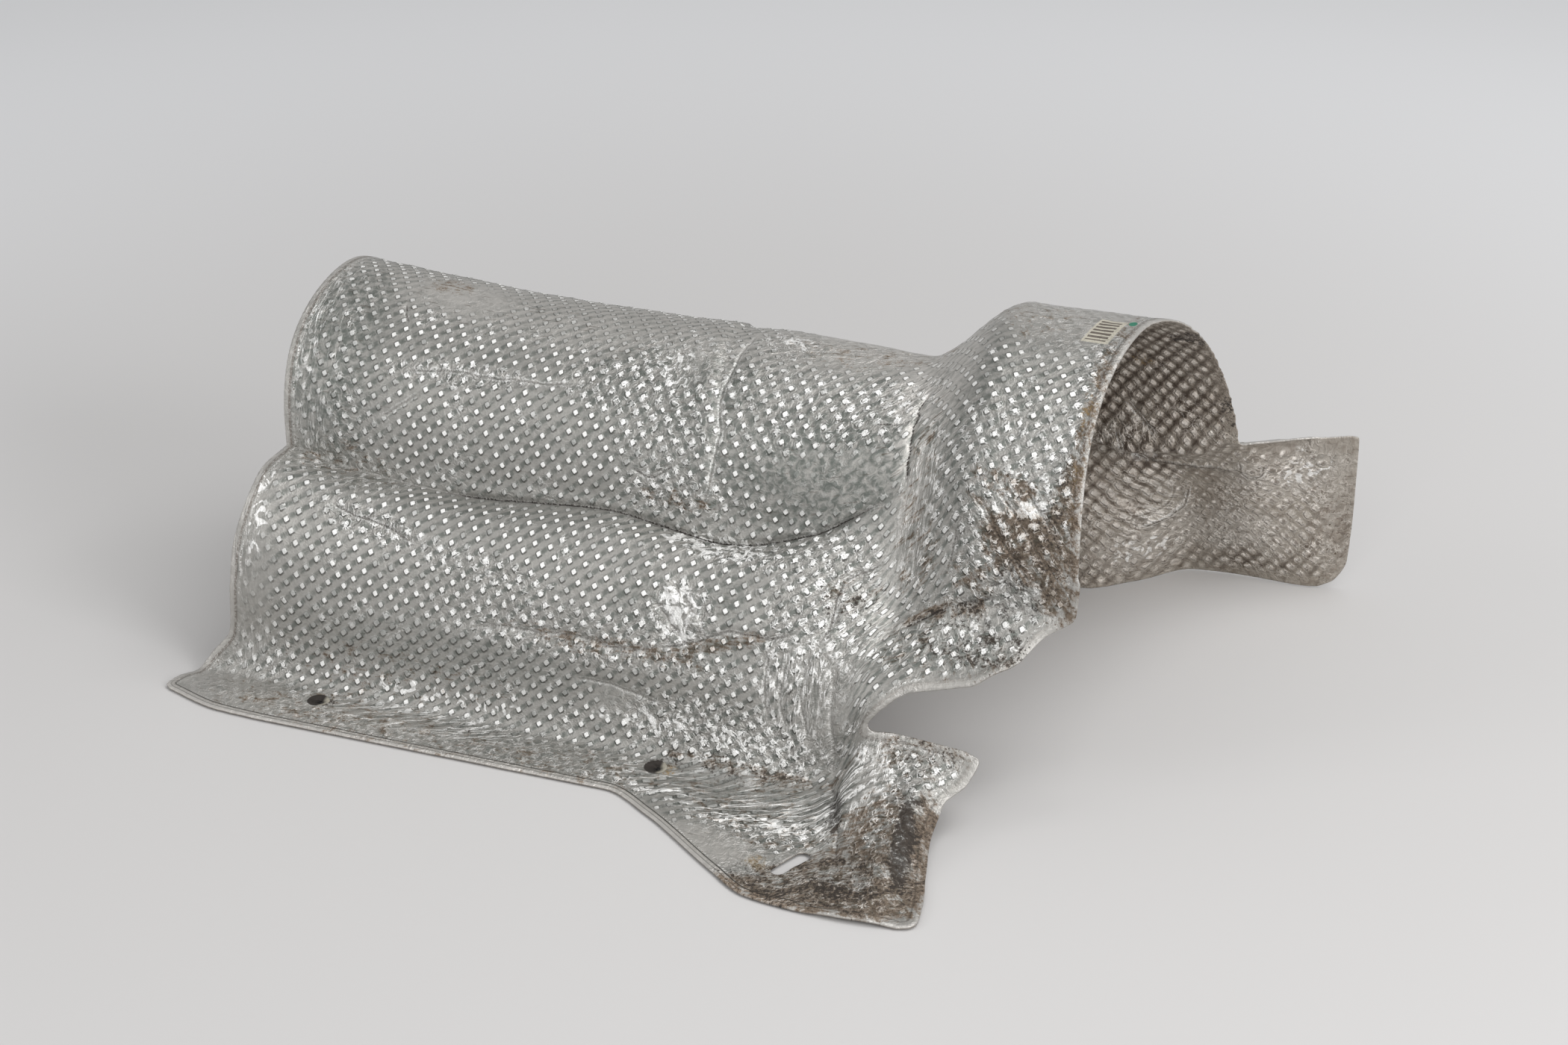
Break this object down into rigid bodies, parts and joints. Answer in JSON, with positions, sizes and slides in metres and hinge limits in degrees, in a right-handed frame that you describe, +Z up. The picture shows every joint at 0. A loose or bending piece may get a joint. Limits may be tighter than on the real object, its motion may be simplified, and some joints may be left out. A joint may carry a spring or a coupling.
{
  "type": "heat shield",
  "caption": "Embossed aluminium heat shield: a half-round tunnel on a flange with bolt holes, flaring into a wider arch at one end, with a foot plate and a side tab.",
  "frame": {"origin": "middle of the sheet's footprint, on the surface it lies on", "axes": "+X along the tunnel towards the flared arch, -Y towards the flange with the bolt holes, +Z up"},
  "size_m": [0.465, 0.3317, 0.1704],
  "materials": {
    "embossed_aluminium": "embossed, dull with bright dimple tips, stained and dirty"
  },
  "bodies": {
    "root": {"shield": "embossed_aluminium"}
  },
  "joints": []
}
